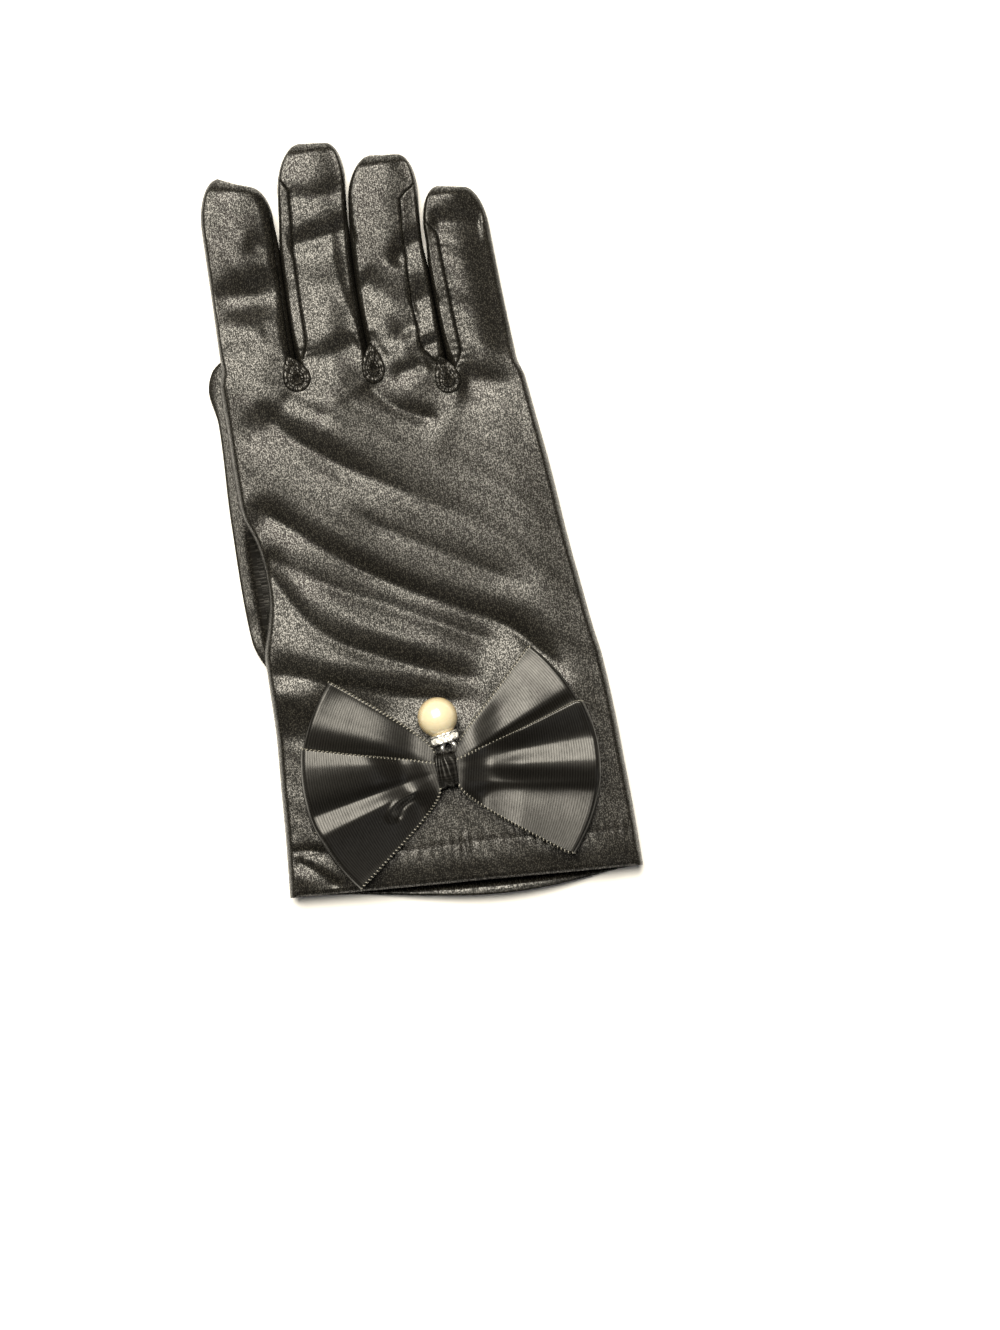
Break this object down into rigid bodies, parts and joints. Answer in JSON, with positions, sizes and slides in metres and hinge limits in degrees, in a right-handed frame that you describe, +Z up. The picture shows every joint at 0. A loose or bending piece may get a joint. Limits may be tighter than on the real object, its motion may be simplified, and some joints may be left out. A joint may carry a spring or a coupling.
{
  "type": "wrist length dress glove",
  "caption": "Black satin dress glove with a hollow hand and fingers, open at the wrist, with a double ribbon bow and a pearl in a jewelled setting on the cuff.",
  "frame": {"origin": "centre of the lying glove's footprint, on the surface it lies on", "axes": "+X from the thumb side to the little finger, +Y from the hem to the fingertips, +Z up from the surface, towards the back of the hand"},
  "size_m": [0.0886, 0.1936, 0.0213],
  "materials": {
    "satin": "black stretch satin knit",
    "ribbon": "black satin ribbon",
    "pearl": "cream pearl lacquer",
    "silver": "silver plate with clear stones"
  },
  "bodies": {
    "root": {"hand": "satin", "thumb": "satin", "gusset_index_middle": "satin", "gusset_middle_ring": "satin", "gusset_ring_little": "satin", "bow_back_ribbon": "ribbon", "bow_front_ribbon": "ribbon", "bow_knot": "ribbon", "pearl": "pearl", "pearl_rondelle": "silver"}
  },
  "joints": []
}
